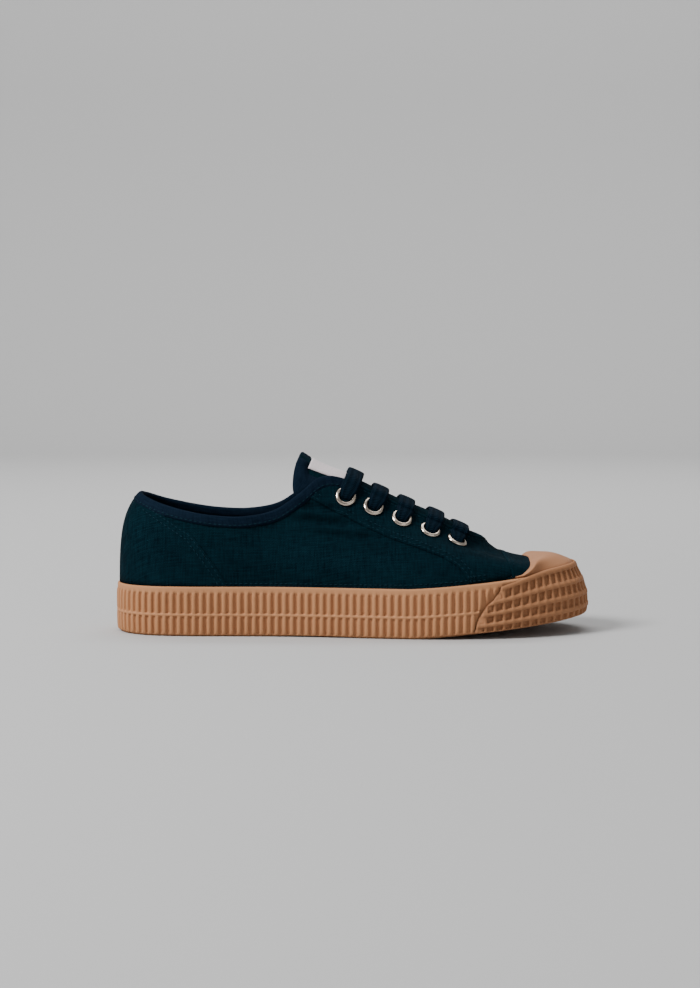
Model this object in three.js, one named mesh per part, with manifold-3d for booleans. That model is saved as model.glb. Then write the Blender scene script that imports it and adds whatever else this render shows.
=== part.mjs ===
// Low canvas sneaker for the right foot. Millimetres, +Z up, +X to the toe, +Y to the inner (medial) side.
// Every form is worked out in shoe coordinates: x from the back of the heel, z from the floor.
import * as THREE from 'three';
import { mergeVertices } from 'three/addons/utils/BufferGeometryUtils.js';
import Module from 'manifold-3d';

const wasm = await Module();
wasm.setup();

// --- driving dimensions --------------------------------------------------------------------------
const gap = 0.3;              // clearance kept between neighbouring pieces
const upperWall = 2;          // canvas, lining and binding together
const soleWall = 2.2;         // foxing strip with its ribs
const toeWall = 4.3;          // foxing and toe guard together at the toe
const foxingHeight = 29.8;    // top of the foxing above the local ground line
const foxingFoot = 0.8;       // its lower edge above the tread
const outsoleHeight = 13.4;
const insoleThickness = 4.6;
const archRise = 1.3;         // the waist of the tread clears the floor by this
const archStart = 90;
const archLength = 62;
const springStart = 178;      // the tread leaves the floor here
const springReach = 112;      // from there to the tip
const toeSpring = 10.4;
const springPower = 1.2;
const collarTilt = 1.4;       // the inner rim of the collar is this much higher
const collarSpan = 130;       // from the heel to where that ends
const wallGrowth = [190, 226];   // the sole wall thickens under the guard between these
const leanGrowth = [222, 284];   // and leans in between these
const stationsPerKey = 2;     // mesh stations between two rows of the ring table

// The upper and sole, a row for each station from the back of the heel to the toe tip. x, outer and
// inner: the sole's outline. The rest: the rim of the collar and throat that the station's rib runs up
// to, its half width about mid, and the rib's fullness (rise at the foot, reach and drop at the rim).
const columns = ['x', 'outer', 'inner', 'rimX', 'rimHalf', 'mid', 'rimZ', 'rise', 'reach', 'drop'];
const ringRows = [
  [0, 0, 0, 15.2, 0, 0, 83.9, 32, 10, 9],
  [6.5, 19.5, 19.5, 18.4, 11.5, 0, 82.4, 29, 8.5, 10],
  [22, 31.6, 31.4, 29.5, 20.5, 0, 78, 22, 5.5, 13],
  [45, 36, 35.4, 46, 26, 0, 73.7, 17, 3, 15],
  [70, 36.4, 34, 62, 28.2, 0, 71.2, 15, 2.5, 15],
  [95, 37, 33, 80, 28.6, 0, 70.8, 15, 2.5, 15],
  [118, 39.6, 33.6, 98, 27, 1, 74.5, 15, 4, 16],
  [138, 43, 37, 112.5, 24.4, 2, 84, 15, 6, 17],
  [156, 46.4, 41.2, 126, 21.6, 3, 94, 16, 6, 19],
  [172, 49, 45, 140.5, 20.6, 3, 92.8, 18, 6, 20],
  [188, 51, 49, 158, 20.8, 3, 85.2, 20, 5, 19],
  [204, 51.7, 51.8, 176, 21.2, 3, 76.6, 21, 5, 18],
  [220, 50.4, 52.4, 194, 21, 3, 68.8, 20, 5, 18],
  [239, 46.8, 50.4, 209.5, 18.6, 3, 62, 18, 4.2, 18.5],
  [257, 40, 45.4, 219.5, 13, 3.4, 58.2, 9, 8.5, 17],
  [273, 29.6, 36.2, 223.4, 7.2, 3.7, 56.6, 5, 12.5, 17.8],
  [285, 15.6, 23, 225, 3, 4, 55.7, 4.6, 14, 18.7],
  [290, -3.8, 3.8, 225.4, 0, 4, 55.4, 4.4, 14, 18.6],
];

// How far the sole wall leans in at the toe and how far its outer face is shaved, by height.
const leanRows = [[0, 0.6], [6, 0], [12, 0.3], [18, 1.6], [24, 4.2], [32, 8.2]];
const shaveRows = [[0.8, 2], [3, 0.9], [8, 0.3], [14, 0], [25.6, 0.1], [26.2, 1.3], [29.8, 1.3]];

// The tongue's ridge from the vamp up to its top edge, with its half width and how deep its sides fall
// square to the line of the throat.
const tongueColumns = ['x', 'z', 'half', 'depth'];
const tongueRows = [
  [238, 42.2, 11, 3.5],
  [228, 48.6, 14, 7],
  [218, 57, 17.5, 13],
  [206, 66.2, 21.5, 16.5],
  [190, 73.6, 23.5, 17],
  [174, 80.2, 24, 17.5],
  [158, 87.4, 23.4, 17],
  [142, 95, 21.8, 19],
  [128, 100.6, 21, 19.5],
  [118, 105.6, 20, 20.5],
  [113.6, 108.4, 19.5, 21.5],
];
const tonguePower = 2.6;
const tongueMid = 3;
const tongueWall = 3;

// Eyelets: five a side, below the edge of the throat.
const eyeletPlaces = [140.5, 157, 174, 191, 207];
const eyeletDepth = 12.8;     // their middles lie this far down from the rim
const eyeletFlange = 6.4;
const eyeletSeat = 1.6;       // the flange's underside stands this far off the canvas
const eyeletBore = 3.8;
const eyeletBarrel = 4.5;
const eyeletSides = 12;

const laceWidth = 9;
const laceThickness = 1.8;
const laceArch = [0.6, 0, 0, 0, 0.2];   // how far each bar stands up from the tongue

const capGap = 0.65;
const capWall = 1.35;
const capBulge = 0.4;
// The cap's rear edge: where it runs at each height.
const capEdgeRows = [[34, 238], [35.7, 242], [38.2, 247], [42, 251.4], [45, 254.4], [52, 258]];
const capStart = 13;          // ring station where the cap runs out at the foxing

const guardWall = 1.9;
const guardCut = 2.2;
const guardRelief = 1;        // its ridges stand this proud
const guardEdgeRows = [[0.8, 216], [13, 220], [20, 224], [26, 233], [32, 248]];
const guardRidges = [5.8, 13.6, 21.6, 30.6];
const ridgeWidth = 2.8;

// --- small maths ---------------------------------------------------------------------------------
const keyCount = ringRows.length - 1;
const ringLength = 2 * keyCount;
const point = (x, y, z) => new THREE.Vector3(x, y, z);

function cubic(a, b, c, d, t) {
  const slopeB = (c - a) / 2;
  const slopeC = (d - b) / 2;
  const lift = 2 * (b - c) + slopeB + slopeC;
  return b + t * (slopeB + t * (3 * (c - b) - 2 * slopeB - slopeC + t * lift));
}

// Reads a two-column table by its first column, in straight steps.
function readTable(rows, at) {
  const last = rows.length - 1;
  if (at <= rows[0][0]) return rows[0][1];
  if (at >= rows[last][0]) return rows[last][1];
  const i = rows.findIndex((row) => row[0] > at);
  const share = (at - rows[i - 1][0]) / (rows[i][0] - rows[i - 1][0]);
  return THREE.MathUtils.lerp(rows[i - 1][1], rows[i][1], share);
}

// Smooth value of a column at a fractional row of an open table.
function readRows(rows, column, at) {
  const last = rows.length - 1;
  const i = Math.min(Math.floor(at), last - 1);
  const pick = (k) => rows[THREE.MathUtils.clamp(k, 0, last)][column];
  return cubic(pick(i - 1), pick(i), pick(i + 1), pick(i + 2), at - i);
}

// Halves the bracket until the rising function passes the target.
function solve(rising, target, low, high) {
  for (let i = 0; i < 40; i++) {
    const middle = (low + high) / 2;
    if (rising(middle) < target) low = middle;
    else high = middle;
  }
  return (low + high) / 2;
}

// --- the ring: u runs from the heel along the inner side to the toe and back along the outer side 
const sideOf = (u) => (u <= keyCount ? 1 : -1);

function ringKey(k, name) {
  const turned = ((k % ringLength) + ringLength) % ringLength;
  const inner = turned <= keyCount;
  const row = ringRows[inner ? turned : ringLength - turned];
  const value = (column) => row[columns.indexOf(column)];
  const side = inner ? 1 : -1;
  if (name === 'y') return inner ? value('inner') : -value('outer');
  if (name === 'rimY') return value('mid') + side * value('rimHalf');
  return value(name);
}

function ring(u, name) {
  const k = Math.floor(u);
  return cubic(ringKey(k - 1, name), ringKey(k, name), ringKey(k + 1, name), ringKey(k + 2, name), u - k);
}

const springAt = (x) => toeSpring * Math.max(0, (x - springStart) / springReach) ** springPower;

function archAt(x) {
  const share = THREE.MathUtils.clamp((x - archStart) / archLength, 0, 1);
  return archRise * Math.sin(Math.PI * share) ** 2;
}

// Horizontal direction that points into the shoe at a station of the outline.
function inward(u) {
  const step = 0.05;
  const dx = ring(u + step, 'x') - ring(u - step, 'x');
  const dy = ring(u + step, 'y') - ring(u - step, 'y');
  return point(-dy, dx, 0).normalize().multiplyScalar(-1);
}

const growth = (u, [from, to]) => THREE.MathUtils.smoothstep(ring(u, 'x'), from, to);
const innerWall = (u) => THREE.MathUtils.lerp(soleWall, toeWall, growth(u, wallGrowth));

// A point of the sole wall: height above the local ground line and depth in from the outline.
function wallPoint(u, height, depth) {
  const x = ring(u, 'x');
  const lean = growth(u, leanGrowth) * readTable(leanRows, height);
  return point(x, ring(u, 'y'), springAt(x) + height).addScaledVector(inward(u), depth + lean);
}

// --- the upper's outer surface -------------------------------------------------------------------
// v from -1 to 0 is the skirt behind the foxing, v from 0 to 1 the rib from the foxing to the rim.
const skirtFoot = outsoleHeight + gap;
const skirtTop = foxingHeight + gap;

function surface(u, v) {
  const depth = innerWall(u) + gap;
  if (v <= 0) return wallPoint(u, skirtTop + v * (skirtTop - skirtFoot), depth);
  const foot = wallPoint(u, skirtTop, depth);
  const tangent = foot.clone().sub(wallPoint(u, skirtTop - 2, depth)).normalize();
  const window = Math.sin(Math.PI * THREE.MathUtils.clamp(ring(u, 'rimX') / collarSpan, 0, 1));
  const tilt = sideOf(u) > 0 ? collarTilt * window : 0;
  const rim = point(ring(u, 'rimX'), ring(u, 'rimY'), ring(u, 'rimZ') + tilt);
  const away = point(foot.x - rim.x, foot.y - rim.y, 0).normalize();
  const low = foot.clone().addScaledVector(tangent, ring(u, 'rise'));
  const high = rim.clone().addScaledVector(away, ring(u, 'reach'));
  high.z -= ring(u, 'drop');
  return new THREE.CubicBezierCurve3(foot, low, high, rim).getPoint(v);
}

function normalAt(u, v) {
  const step = 0.02;
  const low = Math.min(v, 1 - step);
  const along = surface(u + step, v).sub(surface(u - step, v));
  const up = surface(u, low + step).sub(surface(u, low - step));
  return along.cross(up).normalize().multiplyScalar(-1);
}

const offset = (u, v, lift) => surface(u, v).addScaledVector(normalAt(u, v), lift);

// --- solids --------------------------------------------------------------------------------------
function toGeometry(positions, indices) {
  const geometry = new THREE.BufferGeometry();
  geometry.setAttribute('position', new THREE.Float32BufferAttribute(positions, 3));
  geometry.setIndex(indices);
  const merged = mergeVertices(geometry, 1e-3);
  const kept = [];
  const source = merged.index.array;
  for (let i = 0; i < source.length; i += 3) {
    const [a, b, c] = [source[i], source[i + 1], source[i + 2]];
    if (a !== b && b !== c && c !== a) kept.push(a, b, c);
  }
  merged.setIndex(kept);
  return merged;
}

function signedVolume(geometry) {
  const corner = [point(), point(), point()];
  let sum = 0;
  for (let i = 0; i < geometry.index.count; i += 3) {
    const place = geometry.attributes.position;
    corner.forEach((c, k) => c.fromBufferAttribute(place, geometry.index.getX(i + k)));
    sum += corner[0].dot(corner[1].clone().cross(corner[2]));
  }
  return sum;
}

// A closed body between two grids of the same size; wrapped joins the last row to the first.
function slab(face, back, wrapped = false) {
  const rows = face.length;
  const across = face[0].length;
  const positions = [...face.flat(), ...back.flat()].flatMap((p) => [p.x, p.y, p.z]);
  const at = (side, i, j) => side * rows * across + (i % rows) * across + j;
  const indices = [];
  const quad = (a, b, c, d) => indices.push(a, b, c, a, c, d);
  const bands = wrapped ? rows : rows - 1;
  for (let i = 0; i < bands; i++) {
    for (let j = 0; j < across - 1; j++) {
      quad(at(0, i, j), at(0, i + 1, j), at(0, i + 1, j + 1), at(0, i, j + 1));
      quad(at(1, i, j), at(1, i, j + 1), at(1, i + 1, j + 1), at(1, i + 1, j));
    }
    quad(at(0, i, 0), at(1, i, 0), at(1, i + 1, 0), at(0, i + 1, 0));
    const j = across - 1;
    quad(at(0, i, j), at(0, i + 1, j), at(1, i + 1, j), at(1, i, j));
  }
  for (let j = 0; j < across - 1 && !wrapped; j++) {
    const i = rows - 1;
    quad(at(0, 0, j), at(0, 0, j + 1), at(1, 0, j + 1), at(1, 0, j));
    quad(at(0, i, j), at(1, i, j), at(1, i, j + 1), at(0, i, j + 1));
  }
  const geometry = toGeometry(positions, indices);
  if (signedVolume(geometry) < 0) geometry.setIndex(Array.from(geometry.index.array).reverse());
  return geometry;
}

function toManifold(geometry) {
  const vertProperties = Float32Array.from(geometry.attributes.position.array);
  const triVerts = Uint32Array.from(geometry.index.array);
  return new wasm.Manifold(new wasm.Mesh({ numProp: 3, vertProperties, triVerts }));
}

function fromManifold(solid) {
  const mesh = solid.getMesh();
  return toGeometry(Array.from(mesh.vertProperties), Array.from(mesh.triVerts));
}

const shoe = new THREE.Group();

function addPiece(name, geometry, material) {
  const mesh = new THREE.Mesh(geometry, material);
  mesh.name = name;
  shoe.add(mesh);
  return mesh;
}

const steps = (from, to, count) =>
  Array.from({ length: count + 1 }, (_, i) => from + ((to - from) * i) / count);
const ringStations = steps(0, ringLength, ringLength * stationsPerKey).slice(0, -1);

const canvas = new THREE.MeshStandardMaterial({ color: 0x0a1c24, roughness: 0.95, metalness: 0 });
const gum = new THREE.MeshStandardMaterial({ color: 0xa5794f, roughness: 0.55, metalness: 0 });
const paleGum = new THREE.MeshStandardMaterial({ color: 0xa9805f, roughness: 0.5, metalness: 0 });
const lining = new THREE.MeshStandardMaterial({ color: 0x0c1418, roughness: 0.95, metalness: 0 });
const nickel = new THREE.MeshStandardMaterial({ color: 0xb8a68c, roughness: 0.3, metalness: 1 });
const cord = new THREE.MeshStandardMaterial({ color: 0x0e1a24, roughness: 0.9, metalness: 0 });

// --- outsole and insole: cross strips between the two sides of the ring --------------------------
function bed(depthAt, planHeight, heightAt, across) {
  return steps(0, keyCount, keyCount * stationsPerKey).map((u) => {
    const inner = wallPoint(u, planHeight, depthAt(u));
    const outer = wallPoint(ringLength - u, planHeight, depthAt(u));
    return steps(0, 1, across).map((share) => {
      const place = inner.clone().lerp(outer, share);
      place.z = springAt(place.x) + heightAt(place.x);
      return place;
    });
  });
}

const soleDepth = (u) => innerWall(u) + gap;
const tread = bed(soleDepth, 0, archAt, 5);
const soleTop = bed(soleDepth, 0, () => outsoleHeight, 5);
addPiece('outsole', slab(soleTop, tread), gum);

const insoleDepth = (u) => innerWall(u) + upperWall + 4 * gap;
const insoleFoot = outsoleHeight + gap;
const insoleCrown = insoleFoot + insoleThickness;
const insoleBottom = bed(insoleDepth, insoleCrown, () => insoleFoot, 4);
const insoleTop = bed(insoleDepth, insoleCrown, () => insoleCrown, 4);
addPiece('insole', slab(insoleTop, insoleBottom), lining);

// --- toe guard: a strip round the toe whose rear edge runs up and forward in an S ----------------
const footStation = (x) => solve((u) => ring(u, 'x'), x, 1, keyCount);

function guardGrid(heights, depthAt, back) {
  return heights.map((height) => {
    const start = footStation(readTable(guardEdgeRows, height) - back);
    return steps(start, ringLength - start, 16).map((u) => wallPoint(u, height, depthAt(height)));
  });
}

const ridgeFlank = 0.5;
const guardHeights = [foxingFoot];
for (const middle of guardRidges) {
  const half = ridgeWidth / 2;
  guardHeights.push(middle - half - ridgeFlank, middle - half, middle + half, middle + half + ridgeFlank);
}
const onRidge = (height) =>
  guardRidges.some((middle) => Math.abs(height - middle) <= ridgeWidth / 2 + 1e-6);
const guardFace = guardGrid(guardHeights, (height) => (onRidge(height) ? 0 : guardRelief), 0);
const guardBack = guardGrid(guardHeights, () => guardWall, 0);
addPiece('toe_guard', slab(guardFace, guardBack), gum);

// --- foxing: one band round the shoe, thinned behind the toe guard -------------------------------
const foxingHeights = [foxingFoot, 3, 14, 25.6, 26.2, foxingHeight];
const foxingFace = ringStations.map((u) =>
  foxingHeights.map((h) => wallPoint(u, h, readTable(shaveRows, h))));
const foxingBack = ringStations.map((u) => foxingHeights.map((h) => wallPoint(u, h, innerWall(u))));
const cutHeights = [foxingFoot - 3, ...guardHeights.slice(1, -1), foxingHeight + 5];
const cutFace = guardGrid(cutHeights, () => -3, 2 * gap);
const cutBack = guardGrid(cutHeights, () => guardCut, 2 * gap);
const band = toManifold(slab(foxingFace, foxingBack, true));
const guardSpace = toManifold(slab(cutFace, cutBack));
addPiece('foxing', fromManifold(band.subtract(guardSpace)), gum);

// --- upper: hollow shell from the skirt to the rim, with its eyelet holes ------------------------
const upperRows = [-1, -0.02, 0.08, 0.18, 0.3, 0.44, 0.6, 0.76, 0.9, 1];
const shellGrid = (lift) => ringStations.map((u) => upperRows.map((v) => offset(u, v, lift)));
let upper = toManifold(slab(shellGrid(0), shellGrid(-upperWall), true));

// The point of a rib this far below its rim, measured along the surface.
function belowRim(u, depth) {
  const parts = 60;
  let walked = 0;
  for (let i = parts; i > 0; i--) {
    walked += surface(u, i / parts).distanceTo(surface(u, (i - 1) / parts));
    if (walked >= depth) return (i - 1) / parts;
  }
  return 0;
}

function eyeletFrame(x, side) {
  const onSide = (u) => (side > 0 ? u : ringLength - u);
  const station = solve((u) => surface(onSide(u), belowRim(onSide(u), eyeletDepth)).x, x, 7, 15);
  const u = onSide(station);
  const v = belowRim(u, eyeletDepth);
  return { u, v, place: surface(u, v), normal: normalAt(u, v) };
}

const turnTo = (normal) => new THREE.Quaternion().setFromUnitVectors(point(0, 0, 1), normal);

const eyeletProfile = [
  [eyeletBore, -2.8],
  [eyeletBarrel, -2.8],
  [eyeletBarrel, eyeletSeat],
  [eyeletFlange, eyeletSeat],
  [eyeletFlange - 0.3, eyeletSeat + 0.5],
  [5, eyeletSeat + 1],
  [eyeletBore, eyeletSeat + 0.5],
  [eyeletBore, -2.8],
].map(([r, z]) => new THREE.Vector2(r, z));

for (const [side, name] of [[-1, 'lateral'], [1, 'medial']]) {
  eyeletPlaces.forEach((x, i) => {
    const { place, normal } = eyeletFrame(x, side);
    const drill = new THREE.CylinderGeometry(eyeletBarrel + 0.4, eyeletBarrel + 0.4, 12, eyeletSides);
    drill.deleteAttribute('normal');
    drill.deleteAttribute('uv');
    drill.rotateX(Math.PI / 2).applyQuaternion(turnTo(normal)).translate(place.x, place.y, place.z);
    upper = upper.subtract(toManifold(mergeVertices(drill, 1e-3)));
    const eyelet = new THREE.LatheGeometry(eyeletProfile, eyeletSides).rotateX(Math.PI / 2);
    const mesh = addPiece(`eyelet_${name}_${i + 1}`, eyelet, nickel);
    mesh.position.copy(place);
    mesh.quaternion.copy(turnTo(normal));
  });
}
addPiece('upper', fromManifold(upper), canvas);

// --- toe cap: cut between two larger forms of the upper's own surface ----------------------------
function capTop(u) {
  const past = (v) => {
    const p = surface(u, v);
    return readTable(capEdgeRows, p.z) - p.x;
  };
  return Math.max(solve(past, 0, 0, 0.9), 0.03);
}

const capStations = steps(capStart, ringLength - capStart, 2 * (keyCount - capStart) * stationsPerKey);
const capGrid = (lift, bulge) => capStations.map((u) => steps(0, 1, 6)
  .map((share) => offset(u, share * capTop(u), lift + bulge * Math.sin(Math.PI * share) ** 4)));
addPiece('toe_cap', slab(capGrid(capGap + capWall, capBulge), capGrid(capGap, 0)), paleGum);

// --- tongue --------------------------------------------------------------------------------------
const throatStart = point(ringKey(9, 'rimX'), 0, ringKey(9, 'rimZ'));
const throatLine = point(ringKey(14, 'rimX'), 0, ringKey(14, 'rimZ')).sub(throatStart).normalize();
const throatUp = point(-throatLine.z, 0, throatLine.x);

function tonguePoint(at, share, drop) {
  const value = (name) => readRows(tongueRows, tongueColumns.indexOf(name), at);
  const fall = value('depth') * Math.abs(share) ** tonguePower;
  const slope = (tonguePower * fall) / (value('half') * (share || 1));
  const out = throatUp.clone().add(point(0, slope, 0)).normalize();
  const ridge = point(value('x'), tongueMid + share * value('half'), value('z'));
  return ridge.addScaledVector(throatUp, -fall).addScaledVector(out, -drop);
}

const tongueLast = tongueRows.length - 1;
const tongueGrid = (drop) => steps(0, tongueLast, tongueLast)
  .map((at) => steps(-1, 1, 8).map((share) => tonguePoint(at, share, drop)));
addPiece('tongue', slab(tongueGrid(0), tongueGrid(tongueWall)), canvas);

// --- lace: five straight bars over the tongue, each a flat strip from eyelet to eyelet -----------
const along = (p) => p.dot(throatLine);
const tongueStation = (reach) => solve((at) => -along(tonguePoint(at, 0, 0)), -reach, 0, tongueLast);
const barLift = laceThickness / 2 + 0.6;
const barOverEyelet = laceThickness / 2 + eyeletSeat + 1 + 4 * gap;

// Half of a bar: from over the eyelet to the edge of the throat, square to the line of the throat.
function barEnd(x, side) {
  const { place, normal } = eyeletFrame(x, side);
  const onSide = (u) => (side > 0 ? u : ringLength - u);
  const u = onSide(solve((at) => along(surface(onSide(at), 1)), along(place), 8.5, 16));
  const start = place.clone().addScaledVector(normal, barOverEyelet);
  const out = normalAt(u, 1).add(throatUp).normalize();
  const top = surface(u, 1).addScaledVector(out, barLift + 0.3);
  return [start, top];
}

function barPath(x, arch) {
  const outer = barEnd(x, -1);
  const inner = barEnd(x, 1);
  const at = tongueStation(along(outer[1]));
  const ridge = tonguePoint(at, 0, -barLift - arch);
  const flank = (top) => ridge.clone().lerp(top, 0.55).addScaledVector(throatUp, 0.2 * (ridge.z - top.z));
  const path = [...outer, flank(outer[1]), ridge, flank(inner[1]), ...inner.reverse()];
  return new THREE.CatmullRomCurve3(path);
}

eyeletPlaces.forEach((x, i) => {
  const path = barPath(x, laceArch[i]);
  const grid = (lift) => steps(0, 1, 14).map((t) => {
    const tangent = path.getTangent(t);
    const up = throatLine.clone().cross(tangent).normalize();
    const place = path.getPoint(t).addScaledVector(up, lift * laceThickness / 2);
    return [-0.5, 0.5].map((half) => place.clone().addScaledVector(throatLine, half * laceWidth));
  });
  addPiece(`lace_bar_${i + 1}`, slab(grid(1), grid(-1)), cord);
});

// --- the origin: middle of the shoe's plan, on the floor -----------------------------------------
const box = new THREE.Box3().setFromObject(shoe);
shoe.position.set(-(box.min.x + box.max.x) / 2, -(box.min.y + box.max.y) / 2, -box.min.z);

export default shoe;
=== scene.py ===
import math

import bmesh
import bpy
from mathutils import Matrix, Vector


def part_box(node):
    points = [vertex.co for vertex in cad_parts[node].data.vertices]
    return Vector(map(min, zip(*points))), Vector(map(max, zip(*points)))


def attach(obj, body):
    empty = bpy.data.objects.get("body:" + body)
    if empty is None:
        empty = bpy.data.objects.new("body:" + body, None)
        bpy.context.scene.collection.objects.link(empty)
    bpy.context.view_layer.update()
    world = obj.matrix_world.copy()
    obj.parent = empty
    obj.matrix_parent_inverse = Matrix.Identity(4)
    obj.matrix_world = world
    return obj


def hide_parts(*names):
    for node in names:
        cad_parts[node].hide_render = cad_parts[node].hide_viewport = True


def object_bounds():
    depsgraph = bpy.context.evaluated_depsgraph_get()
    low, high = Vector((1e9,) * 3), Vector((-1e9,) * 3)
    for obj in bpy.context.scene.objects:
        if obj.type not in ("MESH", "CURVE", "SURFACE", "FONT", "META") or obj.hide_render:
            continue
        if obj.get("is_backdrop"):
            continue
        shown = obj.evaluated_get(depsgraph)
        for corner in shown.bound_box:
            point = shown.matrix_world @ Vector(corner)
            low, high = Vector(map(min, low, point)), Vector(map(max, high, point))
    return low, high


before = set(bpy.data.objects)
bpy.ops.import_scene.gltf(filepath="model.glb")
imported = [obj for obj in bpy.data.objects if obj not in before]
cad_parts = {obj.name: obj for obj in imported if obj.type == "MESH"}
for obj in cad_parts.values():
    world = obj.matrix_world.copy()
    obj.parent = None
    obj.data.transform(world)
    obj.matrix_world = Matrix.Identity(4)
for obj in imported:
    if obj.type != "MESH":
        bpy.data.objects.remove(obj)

# Low canvas sneaker for the right foot. The making is worked out in shoe measures: millimetres,
# x from the back of the heel, y to the inner side, z from the floor. toFrame turns them into the frame.

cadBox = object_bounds()
print("sneaker: frame loaded")

shoeSize = {
    "upperWall": 2.0,
    "foxingDepth": 2.2,        # foxing strip with its ribs
    "toeDepth": 4.3,           # foxing and guard together at the toe
    "foxingHeight": 29.8,
    "foxingFoot": 0.8,
    "outsoleHeight": 13.4,
    "clearance": 0.3,
    "archRise": 1.3,
    "toeSpring": 10.4,
    "springStart": 178.0,
    "springReach": 112.0,
    "springPower": 1.2,
    "archStart": 90.0,
    "archLength": 62.0,
    "collarTilt": 1.4,         # the inner rim stands higher than the outer one
    "collarSpan": 130.0,
    "leanSpan": (222, 284),    # where the wall starts to lean and leans in full
    "growSpan": (190, 226),    # where the guard makes the wall deeper
}
weldReach = 0.00002            # metres; nearer vertices become one

# A row for each station from the heel to the toe tip: the sole's outline, the rim that the rib of
# canvas runs up to, and how full the rib is at its foot and at its rim.
ringColumns = ("x", "outer", "inner", "rimX", "rimHalf", "mid", "rimZ", "rise", "reach", "drop")
ringRows = (
    (0, 0, 0, 15.2, 0, 0, 83.9, 32, 10, 9),
    (6.5, 19.5, 19.5, 18.4, 11.5, 0, 82.4, 29, 8.5, 10),
    (22, 31.6, 31.4, 29.5, 20.5, 0, 78, 22, 5.5, 13),
    (45, 36, 35.4, 46, 26, 0, 73.7, 17, 3, 15),
    (70, 36.4, 34, 62, 28.2, 0, 71.2, 15, 2.5, 15),
    (95, 37, 33, 80, 28.6, 0, 70.8, 15, 2.5, 15),
    (118, 39.6, 33.6, 98, 27, 1, 74.5, 15, 4, 16),
    (138, 43, 37, 112.5, 24.4, 2, 84, 15, 6, 17),
    (156, 46.4, 41.2, 126, 21.6, 3, 94, 16, 6, 19),
    (172, 49, 45, 140.5, 20.6, 3, 92.8, 18, 6, 20),
    (188, 51, 49, 158, 20.8, 3, 85.2, 20, 5, 19),
    (204, 51.7, 51.8, 176, 21.2, 3, 76.6, 21, 5, 18),
    (220, 50.4, 52.4, 194, 21, 3, 68.8, 20, 5, 18),
    (239, 46.8, 50.4, 209.5, 18.6, 3, 62, 18, 4.2, 18.5),
    (257, 40, 45.4, 219.5, 13, 3.4, 58.2, 9, 8.5, 17),
    (273, 29.6, 36.2, 223.4, 7.2, 3.7, 56.6, 5, 12.5, 17.8),
    (285, 15.6, 23, 225, 3, 4, 55.7, 4.6, 14, 18.7),
    (290, -3.8, 3.8, 225.4, 0, 4, 55.4, 4.4, 14, 18.6),
)
leanRows = ((0, 0.6), (6, 0), (12, 0.3), (18, 1.6), (24, 4.2), (32, 8.2))

toeKey = len(ringRows) - 1
ringLength = 2 * toeKey
tongueMid = 3.0
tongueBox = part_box("tongue")
shift = Vector((cadBox[0][0] * 1000, (tongueBox[0][1] + tongueBox[1][1]) * 500 - tongueMid, 0))


def toFrame(place):
    return (place + shift) / 1000


def cubic(a, b, c, d, t):
    slopeB = (c - a) / 2
    slopeC = (d - b) / 2
    lift = 2 * (b - c) + slopeB + slopeC
    return b + t * (slopeB + t * (3 * (c - b) - 2 * slopeB - slopeC + t * lift))


def clamp(value, low=0.0, high=1.0):
    return max(low, min(high, value))


def smoothStep(value, low, high):
    t = clamp((value - low) / (high - low))
    return t * t * (3 - 2 * t)


def mixValue(a, b, t):
    return a + (b - a) * t


def readTable(rows, at):
    if at <= rows[0][0]:
        return rows[0][1]
    for before, after in zip(rows, rows[1:]):
        if at <= after[0]:
            return mixValue(before[1], after[1], (at - before[0]) / (after[0] - before[0]))
    return rows[-1][1]


def readRows(rows, column, at):
    last = len(rows) - 1
    i = int(clamp(math.floor(at), 0, last - 1))
    a, b, c, d = (rows[int(clamp(k, 0, last))][column] for k in (i - 1, i, i + 1, i + 2))
    return cubic(a, b, c, d, at - i)


def solve(rising, target, low, high, rounds=26):
    # where between low and high the rising function meets the target
    for _ in range(rounds):
        middle = (low + high) / 2
        if rising(middle) < target:
            low = middle
        else:
            high = middle
    return (low + high) / 2


def steps(start, end, count):
    return [mixValue(start, end, i / count) for i in range(count + 1)]


# the ring: u runs from the heel along the inner side to the toe and back along the outer side

def ringKey(k, name):
    k %= ringLength
    inner = k <= toeKey
    row = ringRows[k if inner else ringLength - k]
    if name == "y":
        return row[2] if inner else -row[1]
    if name == "rimY":
        return row[5] + (row[4] if inner else -row[4])
    return row[ringColumns.index(name)]


def ring(u, name):
    k = math.floor(u)
    return cubic(*(ringKey(k + i, name) for i in (-1, 0, 1, 2)), u - k)


def springAt(x):
    s = shoeSize
    return s["toeSpring"] * max(0.0, (x - s["springStart"]) / s["springReach"]) ** s["springPower"]


def archAt(x):
    s = shoeSize
    return s["archRise"] * math.sin(math.pi * clamp((x - s["archStart"]) / s["archLength"])) ** 2


stationStore = {}


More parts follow.
